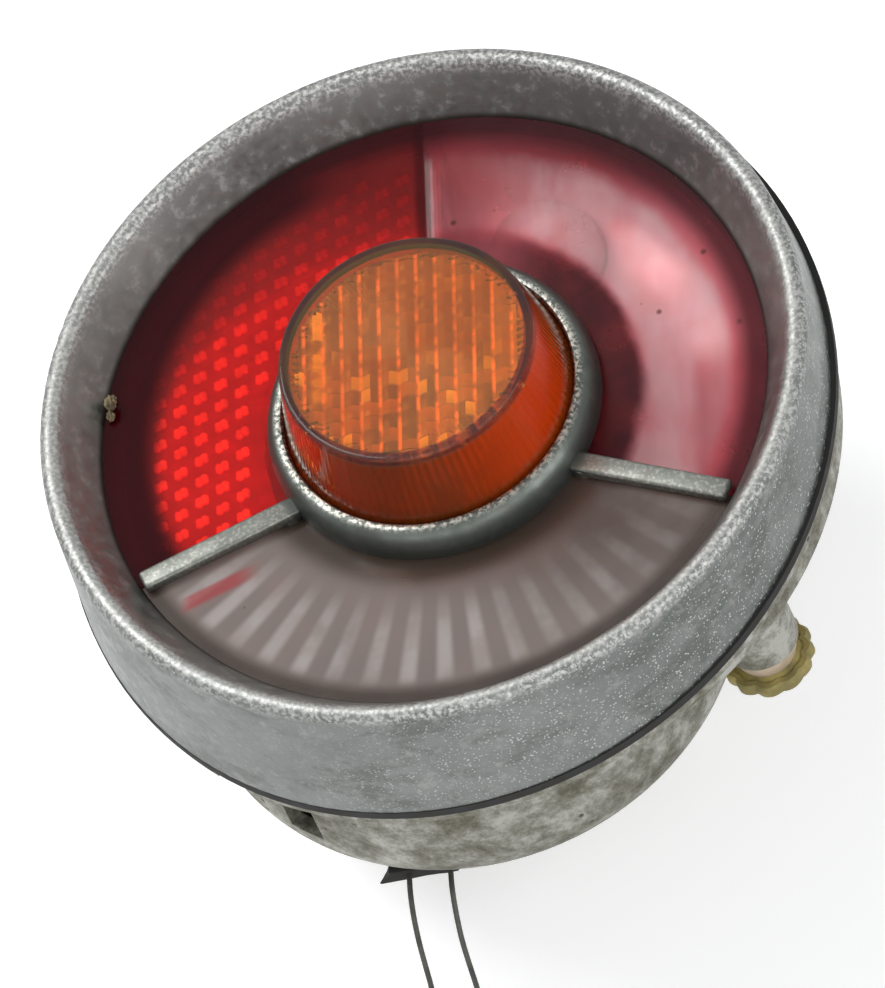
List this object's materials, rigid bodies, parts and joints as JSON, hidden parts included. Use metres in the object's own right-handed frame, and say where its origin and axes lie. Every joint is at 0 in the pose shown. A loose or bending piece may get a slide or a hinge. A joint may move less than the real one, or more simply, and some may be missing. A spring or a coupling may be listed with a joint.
{
  "type": "car tail light",
  "caption": "Round tail light with a raked metal rim, red, clear and raised amber lenses, a centre trim with spokes, bayonet bulbs and a rear housing with studs.",
  "frame": {"origin": "middle of the circle of mounting studs, in the housing's rear face, on the lens axis", "axes": "+Z out of the lens along its axis, +Y towards the top of the lamp, where the red lens is widest, -Y towards the clear lens, +X to the right when the lamp is seen from the front with +Y up"},
  "size_m": [0.1268, 0.1498, 0.0975],
  "materials": {
    "rim_chrome": "worn",
    "trim_chrome": "pitted",
    "amber_plastic": "gloss",
    "red_plastic": "gloss",
    "clear_plastic": "gloss",
    "reflex_red": "gloss",
    "black_rubber": "matt",
    "aged_rubber": "matt",
    "silvered": "bright",
    "white_plastic": "matt",
    "cast_alloy": "as cast",
    "plated_steel": "zinc plated",
    "brass": "dull",
    "fibre": "matt",
    "spring_steel": "bright",
    "bulb_glass": "clear",
    "tungsten": "dull",
    "lead_plastic": "matt"
  },
  "bodies": {
    "lamp": {"bezel": "rim_chrome", "centre_trim": "trim_chrome", "amber_lens": "amber_plastic", "red_lens": "red_plastic", "clear_lens": "clear_plastic", "reflex_insert": "reflex_red", "lens_gasket": "black_rubber", "amber_gasket": "black_rubber", "bezel_gasket": "black_rubber", "reflector_pan": "silvered", "light_baffles": "white_plastic", "housing": "cast_alloy", "socket_plate": "plated_steel", "plate_screws": "plated_steel", "bezel_screws": "plated_steel", "trim_screws": "brass", "mounting_studs": "plated_steel", "harness_grommet": "aged_rubber", "lead_boot": "black_rubber", "lead_left": "lead_plastic", "lead_right": "lead_plastic", "inner_leads": "lead_plastic", "amber_socket": "brass", "amber_insulator": "fibre", "stop_socket": "brass", "stop_insulator": "fibre", "reverse_socket": "brass", "reverse_insulator": "fibre"},
    "amber_contact": {"amber_plunger": "brass", "amber_spring": "spring_steel"},
    "amber_bulb": {"amber_cap": "brass", "amber_glass": "bulb_glass", "amber_filament": "tungsten"},
    "stop_contact": {"stop_plunger": "brass", "stop_spring": "spring_steel"},
    "stop_bulb": {"stop_cap": "brass", "stop_glass": "bulb_glass", "stop_filament": "tungsten"},
    "reverse_contact": {"reverse_plunger": "brass", "reverse_spring": "spring_steel"},
    "reverse_bulb": {"reverse_cap": "brass", "reverse_glass": "bulb_glass", "reverse_filament": "tungsten"}
  },
  "joints": [
    {"name": "amber_push", "type": "slide", "parent": "lamp", "child": "amber_contact", "axis": [0, 0, -1], "range_m": [0, 0.002], "stiffness_N_per_m": 800, "springref_m": -0.003, "deforming": ["amber_spring"]},
    {"name": "amber_turn", "type": "hinge", "parent": "amber_contact", "child": "amber_bulb", "pos_m": [0, 0, 0.04], "axis": [0, 0, 1], "range_deg": [0, 25]},
    {"name": "stop_push", "type": "slide", "parent": "lamp", "child": "stop_contact", "axis": [0, 0, -1], "range_m": [0, 0.002], "stiffness_N_per_m": 800, "springref_m": -0.003, "deforming": ["stop_spring"]},
    {"name": "stop_turn", "type": "hinge", "parent": "stop_contact", "child": "stop_bulb", "pos_m": [0.01564, 0.03353, 0.04], "axis": [0, 0, 1], "range_deg": [0, 25]},
    {"name": "reverse_push", "type": "slide", "parent": "lamp", "child": "reverse_contact", "axis": [0, 0, -1], "range_m": [0, 0.002], "stiffness_N_per_m": 800, "springref_m": -0.003, "deforming": ["reverse_spring"]},
    {"name": "reverse_turn", "type": "hinge", "parent": "reverse_contact", "child": "reverse_bulb", "pos_m": [0, -0.037, 0.04], "axis": [0, 0, 1], "range_deg": [0, 25]}
  ]
}
